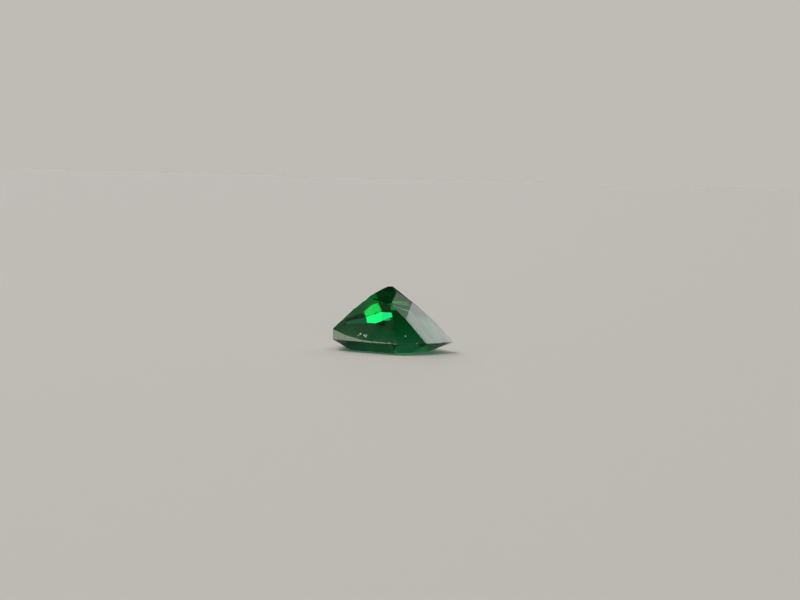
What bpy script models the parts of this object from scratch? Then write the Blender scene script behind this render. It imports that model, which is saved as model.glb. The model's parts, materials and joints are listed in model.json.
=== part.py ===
"""Tsavorite garnet: a small native-cut green gemstone, lying on its table with the culet up.

The stone is made as a cutter makes one. A block of rough is sawn back by flat facets, one after
the other, each given by the compass bearing that it faces, its slope and its reach from the
culet axis. Bearings are in degrees from -Y, turning towards +X. Slopes are in degrees from the
horizontal girdle plane. Lengths in the chart are millimetres and the finished mesh is in metres.
"""

import math
from dataclasses import dataclass

import bmesh
import bpy
from mathutils import Vector

NAME = "tsavorite_garnet"
METRES_PER_MM = 0.001

# Driving sizes of the stone, in millimetres above the table that it lies on
CROWN_HEIGHT = 0.436
CULET_HEIGHT = 2.656
ROUGH_WIDTH = 9.0
ROUGH_HEIGHT = 7.0

# Finish of the polished stone
GARNET_GREEN = (0.006, 0.235, 0.062, 1.0)
POLISH_ROUGHNESS = 0.02
GARNET_IOR = 1.74


@dataclass(frozen=True)
class Facet:
    """One flat cut: the bearing it faces, its slope, and its reach at girdle level."""

    bearing: float
    slope: float
    reach: float

    def normal(self):
        """Return the unit vector that points out of the stone."""
        bearing = math.radians(self.bearing)
        slope = math.radians(self.slope)
        outwards = math.sin(slope)
        return Vector((outwards * math.sin(bearing), -outwards * math.cos(bearing), math.cos(slope)))

    def point(self):
        """Return the point of the plane straight out from the axis at girdle level."""
        bearing = math.radians(self.bearing)
        return Vector((self.reach * math.sin(bearing), -self.reach * math.cos(bearing), CROWN_HEIGHT))


@dataclass(frozen=True)
class GirdleSide:
    """One straight run of the girdle: an upright wall with a bezel facet under it."""

    bearing: float
    reach: float
    bezel_slope: float

    def facets(self):
        """Return the upright wall and the bezel facet that slopes in to the table."""
        wall = Facet(self.bearing, 90.0, self.reach)
        bezel = Facet(self.bearing, 180.0 - self.bezel_slope, self.reach)
        return (wall, bezel)


# Pavilion mains, the steep lowest tier that reaches the girdle
PAVILION_MAINS = (
    Facet(-28.4, 56.7, 2.018),
    Facet(31.2, 49.3, 2.357),
    Facet(50.9, 45.2, 2.363),
    Facet(98.7, 46.1, 2.643),
    Facet(170.5, 45.0, 2.600),
    Facet(-168.5, 52.3, 2.398),
    Facet(-121.4, 39.8, 2.748),
    Facet(-108.9, 48.0, 2.337),
)

# Break facets, the middle tier that the cutter added where the slope changes
PAVILION_BREAKS = (
    Facet(48.9, 43.4, 2.445),
    Facet(111.7, 43.2, 2.621),
    Facet(-87.4, 39.7, 3.007),
)

# Culet facets, the shallow top tier that meets near the tip
CULET_FACETS = (
    Facet(-16.0, 30.8, 3.660),
    Facet(32.2, 32.4, 3.442),
    Facet(78.6, 35.1, 3.195),
    Facet(-109.5, 38.7, 2.892),
)

# Girdle runs, going round from the blunt left corner through the front and right to the back
GIRDLE_SIDES = (
    GirdleSide(-90.0, 2.280, 30.5),
    GirdleSide(-39.5, 2.021, 37.5),
    GirdleSide(-34.8, 1.964, 37.5),
    GirdleSide(-29.8, 1.966, 38.5),
    GirdleSide(31.2, 2.323, 34.0),
    GirdleSide(118.7, 2.193, 23.9),
    GirdleSide(154.0, 2.454, 45.0),
)

# Bezel facets where the girdle is a knife edge, so crown and pavilion meet with no wall between
KNIFE_BEZELS = (
    Facet(50.9, 150.0, 2.363),
    Facet(178.0, 140.0, 2.835),
    Facet(-118.5, 135.9, 2.518),
)


def clear_scene():
    """Remove every object, so the file starts empty."""
    for old in list(bpy.data.objects):
        bpy.data.objects.remove(old, do_unlink=True)


def garnet_material():
    """Return the clear, polished green of the stone."""
    material = bpy.data.materials.new("tsavorite_green")
    material.use_nodes = True
    shader = material.node_tree.nodes["Principled BSDF"]
    shader.inputs["Base Color"].default_value = GARNET_GREEN
    shader.inputs["Metallic"].default_value = 0.0
    shader.inputs["Roughness"].default_value = POLISH_ROUGHNESS
    shader.inputs["IOR"].default_value = GARNET_IOR
    shader.inputs["Transmission Weight"].default_value = 1.0
    material.diffuse_color = GARNET_GREEN
    return material


def grind(stone, point, normal):
    """Grind the stone back to one plane and close the new face."""
    everything = stone.verts[:] + stone.edges[:] + stone.faces[:]
    cut = bmesh.ops.bisect_plane(
        stone, geom=everything, plane_co=point, plane_no=normal, clear_outer=True
    )
    rim = [item for item in cut["geom_cut"] if isinstance(item, bmesh.types.BMEdge)]
    bmesh.ops.contextual_create(stone, geom=rim)


def cut_stone():
    """Return the mesh of the cut stone in metres, its table on z = 0."""
    stone = bmesh.new()
    bmesh.ops.create_cube(stone, size=1.0)
    bmesh.ops.scale(stone, vec=(ROUGH_WIDTH, ROUGH_WIDTH, ROUGH_HEIGHT), verts=stone.verts)

    up = Vector((0.0, 0.0, 1.0))
    grind(stone, Vector((0.0, 0.0, 0.0)), -up)
    for side in GIRDLE_SIDES:
        for facet in side.facets():
            grind(stone, facet.point(), facet.normal())
    for facet in KNIFE_BEZELS + PAVILION_MAINS + PAVILION_BREAKS + CULET_FACETS:
        grind(stone, facet.point(), facet.normal())
    grind(stone, CULET_HEIGHT * up, up)

    centre_on_origin(stone)
    bmesh.ops.scale(stone, vec=(METRES_PER_MM,) * 3, verts=stone.verts)
    bmesh.ops.recalc_face_normals(stone, faces=stone.faces)
    mesh = bpy.data.meshes.new(NAME)
    stone.to_mesh(mesh)
    stone.free()
    return mesh


def centre_on_origin(stone):
    """Slide the stone sideways, so the middle of its outline stands over the origin."""
    across = [corner.co.x for corner in stone.verts]
    deep = [corner.co.y for corner in stone.verts]
    middle = Vector(((min(across) + max(across)) / 2, (min(deep) + max(deep)) / 2, 0.0))
    bmesh.ops.translate(stone, vec=-middle, verts=stone.verts)


def main():
    """Cut the stone and put it in a collection of its own."""
    clear_scene()
    mesh = cut_stone()
    mesh.materials.append(garnet_material())
    garnet = bpy.data.objects.new(NAME, mesh)
    collection = bpy.data.collections.new("tsavorite garnet")
    bpy.context.scene.collection.children.link(collection)
    collection.objects.link(garnet)


main()
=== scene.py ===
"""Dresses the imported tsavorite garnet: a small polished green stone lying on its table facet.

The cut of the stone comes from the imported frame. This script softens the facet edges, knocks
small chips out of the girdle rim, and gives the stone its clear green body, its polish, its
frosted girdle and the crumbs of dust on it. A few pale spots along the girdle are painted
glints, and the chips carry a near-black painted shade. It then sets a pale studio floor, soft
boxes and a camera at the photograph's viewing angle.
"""

from __future__ import annotations

import json
import logging
import math
import random
from dataclasses import dataclass, field
from enum import Enum
from typing import Any

import bpy
from mathutils import Matrix, Quaternion, Vector

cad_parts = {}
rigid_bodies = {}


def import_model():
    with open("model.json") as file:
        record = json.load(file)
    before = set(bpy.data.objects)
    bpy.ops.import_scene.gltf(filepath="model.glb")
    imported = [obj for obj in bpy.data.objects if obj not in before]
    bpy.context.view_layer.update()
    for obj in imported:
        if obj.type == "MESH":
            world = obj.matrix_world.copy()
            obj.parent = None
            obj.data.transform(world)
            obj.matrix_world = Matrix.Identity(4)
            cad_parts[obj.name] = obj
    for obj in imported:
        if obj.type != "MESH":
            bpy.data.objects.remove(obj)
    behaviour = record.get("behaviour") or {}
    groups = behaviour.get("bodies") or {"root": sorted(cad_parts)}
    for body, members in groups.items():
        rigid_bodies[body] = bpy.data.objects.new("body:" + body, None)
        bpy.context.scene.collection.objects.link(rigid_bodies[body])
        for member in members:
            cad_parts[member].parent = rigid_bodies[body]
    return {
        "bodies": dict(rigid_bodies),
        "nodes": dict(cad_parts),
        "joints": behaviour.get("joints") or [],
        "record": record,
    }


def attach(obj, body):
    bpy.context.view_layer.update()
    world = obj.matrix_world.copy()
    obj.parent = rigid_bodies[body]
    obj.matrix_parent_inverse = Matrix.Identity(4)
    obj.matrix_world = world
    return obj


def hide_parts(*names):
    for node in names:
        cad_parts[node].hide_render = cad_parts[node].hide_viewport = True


MM = 0.001
LOG = logging.getLogger("tsavorite")

Colour = tuple[float, float, float, float]
Place = tuple[float, float, float]


class Surface(Enum):
    """How a face of the stone was finished. The value is its material slot while modelling."""

    POLISHED = 0
    WORN_EDGE = 1
    CHIPPED = 2
    FROSTED = 3

    @property
    def ground(self) -> float:
        """Return how matt the face is, from 0, polished, to 1, ground."""
        return (0.0, 0.12, 0.2, 1.0)[self.value]


class Wire:
    """A node socket that can be used in Python expressions on values."""

    def __init__(self, bench: NodeBench, socket: bpy.types.NodeSocket) -> None:
        """Keep the socket and the bench that its maths nodes are added to."""
        self.bench = bench
        self.socket = socket

    def maths(self, operation: str, *values: Any) -> Wire:
        """Add one Math node.

        Args:
            operation: The node's operation.
            values: Its inputs in order, as wires or numbers.

        Returns:
            The node's result.
        """
        return self.bench.node("ShaderNodeMath", {"operation": operation}, dict(enumerate(values)))

    def __add__(self, other: Any) -> Wire:
        """Return the sum."""
        return self.maths("ADD", self, other)

    __radd__ = __add__

    def __sub__(self, other: Any) -> Wire:
        """Return the difference."""
        return self.maths("SUBTRACT", self, other)

    def __rsub__(self, other: Any) -> Wire:
        """Return the difference the other way round."""
        return self.maths("SUBTRACT", other, self)

    def __mul__(self, other: Any) -> Wire:
        """Return the product."""
        return self.maths("MULTIPLY", self, other)

    __rmul__ = __mul__

    def larger(self, other: Any) -> Wire:
        """Return the larger of the two values."""
        return self.maths("MAXIMUM", self, other)

    def step(self, low: float, high: float) -> Wire:
        """Return a smooth step from 0 at low to 1 at high."""
        settings = {"interpolation_type": "SMOOTHSTEP"}
        inputs = {0: self, 1: low, 2: high, 3: 0.0, 4: 1.0}
        return self.bench.node("ShaderNodeMapRange", settings, inputs)


class NodeBench:
    """Builds one material's or one world's node tree."""

    def __init__(self, owner: bpy.types.Material | bpy.types.World) -> None:
        """Clear the owner's node tree, but for a new output."""
        owner.use_nodes = True
        self.owner = owner
        self.tree = owner.node_tree
        self.tree.nodes.clear()
        kind = "World" if isinstance(owner, bpy.types.World) else "Material"
        self.output = self.tree.nodes.new("ShaderNodeOutput" + kind)

    def node(
        self, kind: str, settings: dict[str, Any], inputs: dict[Any, Any], out: Any = 0
    ) -> Wire:
        """Add a node.

        Args:
            kind: The node's type.
            settings: Its properties, which are set first.
            inputs: A value or a wire for each input, by name or number.
            out: The name or number of the output to return.

        Returns:
            The chosen output.
        """
        made = self.tree.nodes.new(kind)
        for key, value in settings.items():
            setattr(made, key, value)
        for key, value in inputs.items():
            if isinstance(value, Wire):
                self.tree.links.new(value.socket, made.inputs[key])
            else:
                made.inputs[key].default_value = value
        return Wire(self, made.outputs[out])

    def noise(self, place: Wire, scale: float, detail: float = 2.0) -> Wire:
        """Return a noise of the given scale, in waves per metre."""
        inputs = {"Vector": place, "Scale": scale, "Detail": detail}
        return self.node("ShaderNodeTexNoise", {}, inputs)

    def blend(self, share: Any, first: Any, second: Any) -> Wire:
        """Return a mix of two colours.

        Args:
            share: How much of the second colour there is, from 0 to 1.
            first: The first colour.
            second: The second colour.

        Returns:
            The mixed colour.
        """
        inputs = {0: share, 6: first, 7: second}
        return self.node("ShaderNodeMix", {"data_type": "RGBA"}, inputs, 2)

    def finish(self, surface: Wire, volume: Wire | None = None) -> Any:
        """Link the shaders to the output.

        Args:
            surface: The surface shader.
            volume: The shader of what is inside, if there is any.

        Returns:
            The finished material or world.
        """
        self.tree.links.new(surface.socket, self.output.inputs["Surface"])
        if volume is not None:
            self.tree.links.new(volume.socket, self.output.inputs["Volume"])
        return self.owner


@dataclass(frozen=True)
class PaleSpot:
    """One pale spot on the stone, either a crumb of dust or a painted glint: its place and radius
    in millimetres.
    """

    place: Place
    radius: float
    fade: tuple[float, float] = (0.75, 1.05)

    def mask(self, bench: NodeBench, place: Wire, raggedness: Wire) -> Wire:
        """Return 1 on the spot and 0 off it, with a ragged edge."""
        centre = tuple(value * MM for value in self.place)
        settings = {"operation": "DISTANCE"}
        distance = bench.node("ShaderNodeVectorMath", settings, {0: place, 1: centre}, "Value")
        reach = distance * (1.0 / (self.radius * MM)) + raggedness
        return 1.0 - reach.step(*self.fade)


DUST_AND_GLINTS = (
    PaleSpot((-1.350, -1.500, 0.747), 0.050),
    PaleSpot((-1.439, -1.503, 0.678), 0.031),
    PaleSpot((-1.195, -1.614, 0.706), 0.041),
    PaleSpot((-1.139, -1.682, 0.655), 0.038),
    PaleSpot((-1.103, -1.659, 0.712), 0.036),
    PaleSpot((0.495, -2.054, 0.751), 0.031),
    PaleSpot((-1.019, -1.856, 0.389), 0.036),
    PaleSpot((-0.924, -1.911, 0.417), 0.031),
    PaleSpot((-0.939, -1.902, 0.357), 0.029),
    PaleSpot((0.976, -2.055, 0.461), 0.029),
    PaleSpot((0.855, -1.551, 1.021), 0.048),
    # The last four spots lie along the girdle and are painted glints: pale patches that stand in
    # for highlights, not dust.
    PaleSpot((-0.659, -2.063, 0.440), 0.022),
    PaleSpot((-0.493, -2.157, 0.465), 0.026),
    PaleSpot((-0.174, -2.328, 0.488), 0.022),
    PaleSpot((0.056, -2.472, 0.452), 0.022),
)


@dataclass(frozen=True)
class GarnetFinish:
    """The clear green of tsavorite, its polish, its frosted girdle and the dust on it, with painted
    glints along the girdle and painted shade on its chips.

    The noise scales are in waves per metre. Each pair of edges says between which two values of
    its mask something fades in.
    """

    ior: float = 1.74
    body_colour: Colour = (0.02, 0.8885, 0.72, 1.0)
    body_density: float = 2245.0

    polish_roughness: float = 0.012
    frost_roughness: float = 0.55
    matt_roughness: float = 0.75
    smear_roughness: float = 0.02
    smear_scale: float = 2600.0
    smear_edges: tuple[float, float] = (0.45, 0.75)

    wave_scale: float = 900.0
    wave_height: float = 3.0
    grain_scale: float = 70000.0
    relief: float = 0.000002

    frost_colour: Colour = (0.52, 0.64, 0.52, 1.0)
    frost_shade: float = 0.75
    frost_share: float = 0.75
    frost_edges: tuple[float, float] = (0.3, 0.9)
    frost_tint_edges: tuple[float, float] = (0.3, 0.6)
    # Near-black green painted on the chips as painted shade: chipped glass looks dark from how
    # light falls through it, not from its own colour.
    painted_chip_shade: Colour = (0.02, 0.06, 0.025, 1.0)
    chip_share: float = 0.85
    chip_edges: tuple[float, float] = (0.12, 0.2)

    # Pale matt colour of the dust crumbs, also used for the painted glints along the girdle.
    dust_and_glint_colour: Colour = (0.86, 0.89, 0.83, 1.0)
    dust_and_glint_scale: float = 45000.0
    dust_and_glint_raggedness: float = 0.9
    dust_and_glints: tuple[PaleSpot, ...] = DUST_AND_GLINTS

    def make(self) -> bpy.types.Material:
        """Return the material of the stone."""
        bench = NodeBench(bpy.data.materials.new("tsavorite_polished_green"))
        place = bench.node("ShaderNodeTexCoord", {}, {}, "Object")
        ground = bench.node("ShaderNodeAttribute", {"attribute_name": "ground"}, {}, "Fac")
        grain = bench.noise(place, self.grain_scale, 3.0)
        smear = bench.noise(place, self.smear_scale, 3.0).step(*self.smear_edges)
        # Mask of the dust crumbs and of the painted glints along the girdle.
        dust_and_glints = self.dust_and_glint_mask(bench, place)

        grinding = ground * (self.frost_roughness - self.polish_roughness)
        roughness = smear * self.smear_roughness + grinding + self.polish_roughness
        waves = bench.noise(place, self.wave_scale, 1.0)
        height = waves * (1.0 - ground) * self.wave_height + grain * ground.larger(dust_and_glints)
        normal = bench.node("ShaderNodeBump", {}, {
            "Height": height,
            "Strength": 1.0,
            "Distance": self.relief,
        })
        glass = bench.node("ShaderNodeBsdfPrincipled", {}, {
            "Base Color": (1.0, 1.0, 1.0, 1.0),
            "Roughness": roughness,
            "IOR": self.ior,
            "Transmission Weight": 1.0,
            "Normal": normal,
        })

        frost = bench.blend(grain, tone(self.frost_colour, self.frost_shade), self.frost_colour)
        # On the chips the matt colour is the near-black painted shade, on the frosted girdle the
        # frost colour.
        worn = bench.blend(ground.step(*self.frost_tint_edges), self.painted_chip_shade, frost)
        matt = bench.node("ShaderNodeBsdfPrincipled", {}, {
            # Pale spots take the dust colour: real dust, and painted glints along the girdle.
            "Base Color": bench.blend(dust_and_glints, worn, self.dust_and_glint_colour),
            "Roughness": self.matt_roughness,
            "Normal": normal,
        })
        chipped = ground.step(*self.chip_edges) * self.chip_share
        frosted = ground.step(*self.frost_edges) * self.frost_share
        share = chipped.larger(frosted).larger(dust_and_glints)
        surface = bench.node("ShaderNodeMixShader", {}, {0: share, 1: glass, 2: matt})

        body = bench.node("ShaderNodeVolumeAbsorption", {}, {
            "Color": self.body_colour,
            "Density": self.body_density,
        })
        return bench.finish(surface, body)

    def dust_and_glint_mask(self, bench: NodeBench, place: Wire) -> Wire:
        """Return where the crumbs of dust and the painted glints lie."""
        raggedness = bench.noise(place, self.dust_and_glint_scale) * self.dust_and_glint_raggedness
        raggedness = raggedness - self.dust_and_glint_raggedness / 2
        mask = self.dust_and_glints[0].mask(bench, place, raggedness)
        for spot in self.dust_and_glints[1:]:
            mask = mask.larger(spot.mask(bench, place, raggedness))
        return mask


def tone(colour: Colour, factor: float) -> Colour:
    """Return the colour made darker or lighter by a factor."""
    return (colour[0] * factor, colour[1] * factor, colour[2] * factor, 1.0)


@dataclass
class Rim:
    """One level edge of the girdle: its ends, its outward direction and whether it is a knife edge.

    Its lengths are in millimetres.
    """

    start: Vector
    end: Vector
    outward: Vector
    thin: bool

    def length(self) -> float:
        """Return how long the edge is."""
        return (self.end - self.start).length

    def point(self, along: float) -> Vector:
        """Return the point at a distance along the edge."""
        return self.start + (self.end - self.start).normalized() * along


@dataclass
class RimChips:
    """The small chips knocked out of the girdle rim, most of them where it is a knife edge.

    Radii and gaps are in millimetres, and the rest in shares of a chip's radius.
    """

    seed: int = 7
    radius: tuple[float, float] = (0.022, 0.06)
    knife_gap: tuple[float, float] = (0.05, 0.13)
    thick_gap: tuple[float, float] = (0.25, 0.8)
    standing_out: tuple[float, float] = (0.35, 0.75)
    raggedness: float = 0.25
    evenness: float = 0.5

    def knock(self, stone: bpy.types.Object, rims: list[Rim]) -> int:
        """Cut the chips out of the stone.

        Args:
            stone: The stone, modelled in millimetres.
            rims: The edges of its girdle, as they were before they were softened.

        Returns:
            The number of chips.
        """
        dice = random.Random(self.seed)
        mesh = bpy.data.meshes.new("chips")
        mesh.materials.append(stone.data.materials[Surface.CHIPPED.value])
        chips = bpy.data.objects.new("chips", mesh)
        bpy.context.scene.collection.objects.link(chips)
        select_only(chips)
        bpy.ops.object.mode_set(mode="EDIT")
        count = 0
        for rim in rims:
            gap = self.knife_gap if rim.thin else self.thick_gap
            along = dice.uniform(*gap)
            while along < rim.length():
                self.add_chip(dice, rim.point(along), rim.outward, count)
                along += dice.uniform(*gap)
                count += 1
        bpy.ops.object.mode_set(mode="OBJECT")
        self.cut(stone, chips)
        return count

    def add_chip(self, dice: random.Random, place: Vector, outward: Vector, number: int) -> None:
        """Add one ragged pebble to the mesh in hand, standing most of its way out of the rim."""
        radius = dice.uniform(*self.radius)
        bpy.ops.mesh.select_all(action="DESELECT")
        bpy.ops.mesh.primitive_ico_sphere_add(
            subdivisions=1,
            radius=radius,
            location=place + outward * radius * dice.uniform(*self.standing_out),
            rotation=[dice.uniform(0.0, math.tau) for _ in range(3)],
        )
        bpy.ops.transform.vertex_random(
            offset=radius * self.raggedness, uniform=self.evenness, seed=number
        )

    def cut(self, stone: bpy.types.Object, chips: bpy.types.Object) -> None:
        """Take the chips away from the stone, and remove their own object."""
        cut = stone.modifiers.new("chips", "BOOLEAN")
        cut.operation = "DIFFERENCE"
        cut.object = chips
        cut.solver = "EXACT"
        cut.use_self = True
        cut.material_mode = "TRANSFER"
        select_only(stone)
        bpy.ops.object.modifier_apply(modifier=cut.name)
        bpy.data.objects.remove(chips, do_unlink=True)


@dataclass
class Tsavorite:
    """The cut stone, with softened facet edges and a chipped, frosted girdle.

    Lengths are in millimetres. A face is upright, and an edge level, up to the given sine.
    """

    cad_node: str = "tsavorite_garnet"
    weld: float = 0.0005
    one_facet_deg: float = 0.4
    edge_softness: float = 0.006
    edge_segments: int = 2
    softened_from_deg: float = 1.5
    upright: float = 0.05
    least_frosted: float = 0.05
    level: float = 0.6
    shortest_rim: float = 0.1
    chips: RimChips = field(default_factory=RimChips)
    finish: GarnetFinish = field(default_factory=GarnetFinish)

    def build(self, frame: dict[str, Any]) -> bpy.types.Object:
        """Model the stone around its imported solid.


        Returns:
            The finished stone.
        """
        stone = self.copy_cut(frame["nodes"][self.cad_node])
        self.mark_girdle(stone)
        rims = self.find_rims(stone)
        self.soften_edges(stone)
        count = self.chips.knock(stone, rims)
        self.dress(stone)
        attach(stone, "root")
        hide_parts(self.cad_node)
        LOG.info("stone: %d faces, %d chips in the girdle rim", len(stone.data.polygons), count)
        return stone

    def copy_cut(self, solid: bpy.types.Object) -> bpy.types.Object:
        """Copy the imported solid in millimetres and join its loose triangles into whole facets.

        Args:
            solid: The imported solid's object.

        Returns:
            The stone, with one empty material slot for each kind of surface.
        """
        mesh = solid.data.copy()
        mesh.name = "stone"
        mesh.transform(Matrix.Scale(1.0 / MM, 4))
        mesh.materials.clear()
        for surface in Surface:
            mesh.materials.append(bpy.data.materials.new(surface.name.lower()))
        stone = bpy.data.objects.new("stone", mesh)
        bpy.context.scene.collection.objects.link(stone)
        select_only(stone)
        bpy.ops.object.mode_set(mode="EDIT")
        bpy.ops.mesh.select_all(action="SELECT")
        bpy.ops.mesh.remove_doubles(threshold=self.weld)
        bpy.ops.mesh.dissolve_limited(angle_limit=math.radians(self.one_facet_deg))
        bpy.ops.object.mode_set(mode="OBJECT")
        return stone

    def mark_girdle(self, stone: bpy.types.Object) -> None:
        """Mark the girdle's upright faces as frosted, or as worn where they are thin."""
        mesh = stone.data
        for face in mesh.polygons:
            heights = [mesh.vertices[index].co.z for index in face.vertices]
            upright = abs(face.normal.z) < self.upright
            frosted = upright and max(heights) - min(heights) > self.least_frosted
            worn = Surface.WORN_EDGE if upright else Surface.POLISHED
            face.material_index = (Surface.FROSTED if frosted else worn).value

    def find_rims(self, stone: bpy.types.Object) -> list[Rim]:
        """Find the edges of the girdle that can chip.

        Args:
            stone: The stone, with sharp edges.

        Returns:
            Its level edges between the crown and the pavilion.
        """
        mesh = stone.data
        sides: dict[tuple[int, int], list[bpy.types.MeshPolygon]] = {}
        for face in mesh.polygons:
            for key in face.edge_keys:
                sides.setdefault(key, []).append(face)
        rims = []
        for key, (one, other) in sides.items():
            start, end = (mesh.vertices[index].co.copy() for index in key)
            along = end - start
            level = abs(along.normalized().z) < self.level and along.length > self.shortest_rim
            lower, upper = sorted((one.normal.z, other.normal.z))
            if level and lower < self.upright and upper > -self.upright:
                outward = (one.normal + other.normal) * Vector((1.0, 1.0, 0.0))
                thin = lower < -self.upright and upper > self.upright
                rims.append(Rim(start, end, outward.normalized(), thin))
        return rims

    def soften_edges(self, stone: bpy.types.Object) -> None:
        """Round every facet edge by a few micrometres."""
        bevel = stone.modifiers.new("soften", "BEVEL")
        bevel.width = self.edge_softness
        bevel.segments = self.edge_segments
        bevel.limit_method = "ANGLE"
        bevel.angle_limit = math.radians(self.softened_from_deg)
        bevel.use_clamp_overlap = False
        bevel.material = Surface.WORN_EDGE.value
        select_only(stone)
        bpy.ops.object.modifier_apply(modifier=bevel.name)

    def dress(self, stone: bpy.types.Object) -> None:
        """Write how matt each face is to an attribute, and leave the stone its one material."""
        mesh = stone.data
        ground = mesh.attributes.new("ground", "FLOAT", "FACE")
        for face in mesh.polygons:
            ground.data[face.index].value = Surface(face.material_index).ground
            face.material_index = 0
        mesh.materials.clear()
        mesh.materials.append(self.finish.make())
        mesh.transform(Matrix.Scale(MM, 4))


def select_only(thing: bpy.types.Object) -> None:
    """Deselect everything, then select one object and make it the active one."""
    bpy.ops.object.select_all(action="DESELECT")
    thing.select_set(True)
    bpy.context.view_layer.objects.active = thing


@dataclass(frozen=True)
class PhotoView:
    """Where the photograph was taken from, and where the stone stands in its frame."""

    frame_px: tuple[int, int] = (800, 600)
    target_mm: Place = (0.0147, -0.5462, 0.436)
    target_px: tuple[float, float] = (393.6, 340.55)
    px_per_mm: float = 24.1
    elevation_deg: float = 4.59
    roll_deg: float = 1.6
    lens_mm: float = 100.0
    sensor_mm: float = 36.0
    clip_shares: tuple[float, float] = (0.01, 100.0)

    def focal_px(self) -> float:
        """Return the focal length in pixels of the photograph."""
        return self.frame_px[0] * self.lens_mm / self.sensor_mm

    def make_camera(self) -> bpy.types.Object:
        """Make the scene's camera, so that the target point falls on its pixel."""
        distance = self.focal_px() / self.px_per_mm * MM
        elevation = math.radians(self.elevation_deg)
        sight = Vector((0.0, math.cos(elevation), -math.sin(elevation)))
        right_px = self.target_px[0] - self.frame_px[0] / 2
        down_px = self.target_px[1] - self.frame_px[1] / 2
        turn = sight.to_track_quat("-Z", "Y")
        turn = turn @ Quaternion((0.0, 0.0, 1.0), math.radians(self.roll_deg))
        turn = turn @ Quaternion((0.0, 1.0, 0.0), math.atan(right_px / self.focal_px()))
        turn = turn @ Quaternion((1.0, 0.0, 0.0), math.atan(down_px / self.focal_px()))
        data = bpy.data.cameras.new("photo_camera")
        data.lens = self.lens_mm
        data.sensor_width = self.sensor_mm
        data.clip_start = distance * self.clip_shares[0]
        data.clip_end = distance * self.clip_shares[1]
        camera = bpy.data.objects.new("photo_camera", data)
        camera.location = Vector(self.target_mm) * MM - sight * distance
        camera.rotation_mode = "QUATERNION"
        camera.rotation_quaternion = turn
        bpy.context.scene.collection.objects.link(camera)
        bpy.context.scene.camera = camera
        return camera


@dataclass(frozen=True)
class SoftLight:
    """A soft round light far off. Its bearing turns from +Y to +X, and angles are in degrees."""

    elevation: float
    bearing: float
    radiance: float
    core: float = 4.0
    rim: float = 10.0

    def glow(self, bench: NodeBench, sight: Wire) -> Wire:
        """Return its radiance along a line of sight, which fades from its core to its rim.

        Args:
            bench: The bench of the world that the light is part of.
            sight: The direction of sight.

        Returns:
            The radiance.
        """
        bearing = math.radians(self.bearing)
        elevation = math.radians(self.elevation)
        level = math.cos(elevation)
        away = (math.sin(bearing) * level, math.cos(bearing) * level, math.sin(elevation))
        settings = {"operation": "DOT_PRODUCT"}
        nearness = bench.node("ShaderNodeVectorMath", settings, {0: sight, 1: away}, "Value")
        edges = (math.cos(math.radians(self.rim)), math.cos(math.radians(self.core)))
        return nearness.step(*edges) * self.radiance


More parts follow.
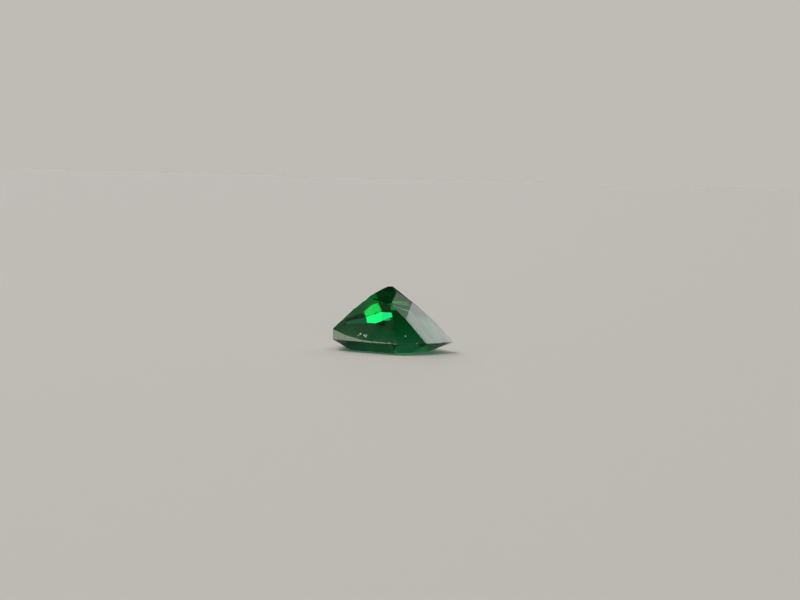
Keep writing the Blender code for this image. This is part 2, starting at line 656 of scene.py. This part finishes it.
@dataclass
class Studio:
    """A pale floor, a pale backdrop round it, and soft lights beyond them, in metres."""

    lights_above: tuple[SoftLight, ...] = (
        # Low lights in front and behind, which the bright flash in the stone shows
        SoftLight(4.0, 178.0, 13.0),
        SoftLight(8.0, 0.0, 2.6),
        # Lights that the pale facets at the right mirror
        SoftLight(30.0, 40.0, 4.6),
        SoftLight(38.9, 45.3, 0.75, 2.0, 5.0),
        SoftLight(37.0, 46.0, 1.1, 1.5, 3.5),
        # Dim lights that show in the long facet at the left
        SoftLight(46.7, -96.9, 0.2, 4.6, 6.1),
        SoftLight(19.0, 18.0, 0.2),
        # High lights for the floor and the frosted girdle
        SoftLight(22.0, -22.0, 5.4),
        SoftLight(48.0, 12.0, 6.3),
        SoftLight(56.0, -48.0, 12.6),
        SoftLight(38.0, -45.0, 11.1),
        SoftLight(49.0, -41.0, 4.3),
        SoftLight(62.0, 101.0, 3.6),
        # Wide, dim light round the horizon
        SoftLight(12.0, 0.0, 0.06, 10.0, 45.0),
        SoftLight(12.0, -60.0, 0.22, 10.0, 45.0),
        SoftLight(12.0, -120.0, 0.3, 10.0, 45.0),
    )
    lights_below: tuple[SoftLight, ...] = (
        SoftLight(-9.0, -30.0, 0.07, 8.0, 40.0),
        SoftLight(-50.0, 90.0, 0.3, 8.0, 40.0),
        SoftLight(-50.0, 150.0, 1.35, 8.0, 40.0),
        SoftLight(-90.0, 0.0, 0.06, 10.0, 40.0),
    )
    haze: float = 0.01
    horizon: float = 0.03
    light_above: Colour = (1.0, 1.0, 1.0, 1.0)
    light_below: Colour = (1.0, 1.0, 0.62, 1.0)
    floor_colour: Colour = (0.74, 0.71, 0.65, 1.0)
    floor_roughness: float = 0.9
    backdrop_colour: Colour = (0.515, 0.500, 0.460, 1.0)
    backdrop_sides: int = 96
    backdrop_share: float = 0.98
    room: float = 1.0

    def build(self) -> None:
        """Set the floor, the backdrop and the lights."""
        self.make_floor()
        self.make_backdrop()
        self.make_air()
        count = len(self.lights_above + self.lights_below)
        LOG.info("studio: floor, backdrop and %d soft lights", count)

    def make_floor(self) -> None:
        """Lay the floor, which light from below passes on its way to the stone."""
        bpy.ops.object.select_all(action="DESELECT")
        bpy.ops.mesh.primitive_plane_add(size=2.0 * self.room, location=(0.0, 0.0, 0.0))
        floor = bpy.context.object
        floor.name = "floor"
        floor.visible_transmission = False
        floor.visible_shadow = False
        bench = NodeBench(bpy.data.materials.new("pale_floor"))
        matt = bench.node("ShaderNodeBsdfPrincipled", {}, {
            "Base Color": self.floor_colour,
            "Roughness": self.floor_roughness,
        })
        floor.data.materials.append(bench.finish(matt))

    def make_backdrop(self) -> None:
        """Stand a pale round wall at the edge of the floor, which only the camera sees."""
        bpy.ops.object.select_all(action="DESELECT")
        bpy.ops.mesh.primitive_cylinder_add(
            vertices=self.backdrop_sides,
            radius=self.backdrop_share * self.room,
            depth=self.room,
            end_fill_type="NOTHING",
            location=(0.0, 0.0, self.room / 2),
        )
        wall = bpy.context.object
        wall.name = "backdrop"
        wall.visible_diffuse = False
        wall.visible_glossy = False
        wall.visible_transmission = False
        wall.visible_volume_scatter = False
        wall.visible_shadow = False
        bench = NodeBench(bpy.data.materials.new("pale_backdrop"))
        glow = bench.node("ShaderNodeEmission", {}, {"Color": self.backdrop_colour})
        wall.data.materials.append(bench.finish(glow))

    def make_air(self) -> None:
        """Fill the air with the soft lights, above the floor and below it."""
        world = bpy.data.worlds.new("studio_air")
        bench = NodeBench(world)
        sight = bench.node("ShaderNodeTexCoord", {}, {}, "Generated")
        height = bench.node("ShaderNodeSeparateXYZ", {}, {0: sight}, "Z")
        above = height.step(-self.horizon, self.horizon)
        sky = sum(light.glow(bench, sight) for light in self.lights_above)
        ground = sum(light.glow(bench, sight) for light in self.lights_below)
        strength = sky * above + ground * (1.0 - above) + self.haze
        colour = bench.blend(above, self.light_below, self.light_above)
        glow = bench.node("ShaderNodeBackground", {}, {"Color": colour, "Strength": strength})
        bench.finish(glow)
        bpy.context.scene.world = world
        bpy.context.scene.view_settings.view_transform = "Standard"


def main(frame: dict[str, Any]) -> None:
    """Build the stone and its studio in order.
    """
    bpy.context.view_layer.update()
    view = PhotoView()
    view.make_camera()
    Studio().build()
    Tsavorite().build(frame)


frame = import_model()

if __name__ == "__main__":
    logging.basicConfig(level=logging.INFO)
    main(frame)
